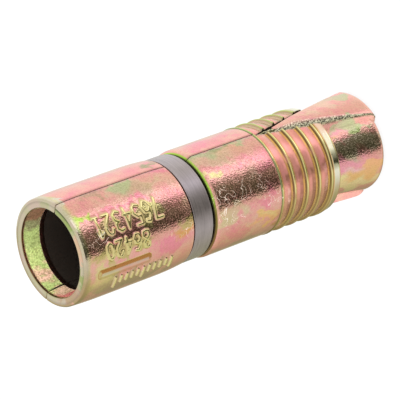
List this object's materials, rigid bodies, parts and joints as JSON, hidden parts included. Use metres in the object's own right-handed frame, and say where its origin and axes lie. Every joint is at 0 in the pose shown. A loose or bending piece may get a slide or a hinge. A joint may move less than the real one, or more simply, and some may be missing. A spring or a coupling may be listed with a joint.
{
  "type": "expansion anchor",
  "caption": "Split steel expansion anchor: ribbed shell halves held by a band, with a winged threaded cone that slides in to spread them.",
  "frame": {"origin": "centre of the expander cone's flat rear face, which the anchor stands on", "axes": "+Z along the anchor's axis from the cone to the mouth, +Y through one seam between the shell halves, +X through the middle of the marked half"},
  "size_m": [0.0156, 0.0156, 0.0554],
  "materials": {
    "marked_half_plating": "yellow-passivated zinc plating, iridescent pink, gold and green",
    "plain_half_plating": "yellow-passivated zinc plating, iridescent pink, gold and green",
    "band_steel": "plain grey brushed steel",
    "cone_plating": "yellow-passivated zinc plating, iridescent pink, gold and green"
  },
  "bodies": {
    "band": {"retaining_band": "band_steel"},
    "marked_half": {"marked_shell_half": "marked_half_plating"},
    "plain_half": {"plain_shell_half": "plain_half_plating"},
    "cone": {"expander_cone": "cone_plating"}
  },
  "joints": [
    {"name": "cone_travel", "type": "slide", "parent": "band", "child": "cone", "axis": [0, 0, 1], "range_m": [0, 0.003]},
    {"name": "marked_half_spread", "type": "hinge", "parent": "band", "child": "marked_half", "pos_m": [0, 0, 0.0554], "axis": [0, -1, 0], "range_deg": [0, 0.57]},
    {"name": "plain_half_spread", "type": "hinge", "parent": "band", "child": "plain_half", "pos_m": [0, 0, 0.0554], "axis": [0, 1, 0], "range_deg": [0, 0.57]}
  ],
  "couplings": [
    {"joint": "marked_half_spread", "follows": "cone_travel", "rad_per_m": 3.275},
    {"joint": "plain_half_spread", "follows": "cone_travel", "rad_per_m": 3.275}
  ]
}
